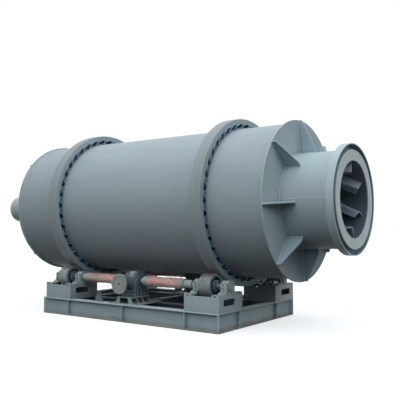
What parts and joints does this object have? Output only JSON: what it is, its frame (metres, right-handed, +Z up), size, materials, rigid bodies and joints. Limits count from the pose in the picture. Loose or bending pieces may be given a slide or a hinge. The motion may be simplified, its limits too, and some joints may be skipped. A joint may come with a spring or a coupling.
{
  "type": "rotary sand dryer",
  "caption": "Horizontal rotary drum dryer with riding rings on driven support rollers, line shafts through a gearbox, pedestals and a welded beam base.",
  "frame": {"origin": "middle of the base's footprint, on the ground", "axes": "+X along the drum's axis towards its open mouth, -Y towards the first drive with its input flange, +Z up"},
  "size_m": [7.014, 2.4996, 3.031],
  "materials": {
    "paint": "satin grey-blue paint",
    "paint_shade": "satin grey-blue paint, darker",
    "pale": "pale grey-green primer",
    "gear_grey": "dark grey painted casting",
    "bare_steel": "turned steel, dull",
    "wrap": "crumpled pink plastic wrapping"
  },
  "bodies": {
    "base": {"beam_front": "paint", "beam_rear": "paint", "beam_left": "paint", "beam_right": "paint", "inner_beams": "paint_shade", "cross_beams": "paint_shade", "base_lugs": "paint", "pedestal_front_left": "paint", "pedestal_front_right": "paint", "pedestal_rear_left": "paint", "pedestal_rear_right": "paint", "bearing_bases": "paint", "bearing_caps": "paint", "gearbox_stands": "paint_shade", "gearbox_front": "gear_grey", "gearbox_rear": "gear_grey", "motor_flange_front": "pale", "motor_flange_rear": "pale"},
    "drum": {"drum_shell": "paint", "tyre_left": "paint", "tyre_right": "paint", "tyre_spacers_left": "paint_shade", "tyre_spacers_right": "paint_shade", "end_plate_mouth": "paint", "ribs_mouth": "paint", "neck_mouth": "paint", "seal_band": "paint", "mouth_plate": "paint", "inner_drum": "paint_shade", "guide_vanes": "paint_shade", "end_plate_tail": "paint", "ribs_tail": "paint", "neck_tail": "paint", "tail_pipe": "pale", "drum_lugs": "paint"},
    "front_line": {"rollers_front": "bare_steel", "line_shaft_front": "bare_steel", "couplings_front": "pale", "shaft_wraps_front": "wrap"},
    "rear_line": {"rollers_rear": "bare_steel", "line_shaft_rear": "bare_steel", "couplings_rear": "pale", "shaft_wraps_rear": "wrap"}
  },
  "joints": [
    {"name": "drum_spin", "type": "hinge", "parent": "base", "child": "drum", "pos_m": [0, 0, 1.781], "axis": [1, 0, 0], "continuous": true},
    {"name": "front_line_spin", "type": "hinge", "parent": "base", "child": "front_line", "pos_m": [0, -0.78598, 0.598], "axis": [1, 0, 0], "continuous": true},
    {"name": "rear_line_spin", "type": "hinge", "parent": "base", "child": "rear_line", "pos_m": [0, 0.78598, 0.598], "axis": [1, 0, 0], "continuous": true}
  ],
  "couplings": [
    {"joint": "front_line_spin", "follows": "drum_spin", "ratio": -7.3529},
    {"joint": "rear_line_spin", "follows": "drum_spin", "ratio": -7.3529}
  ]
}
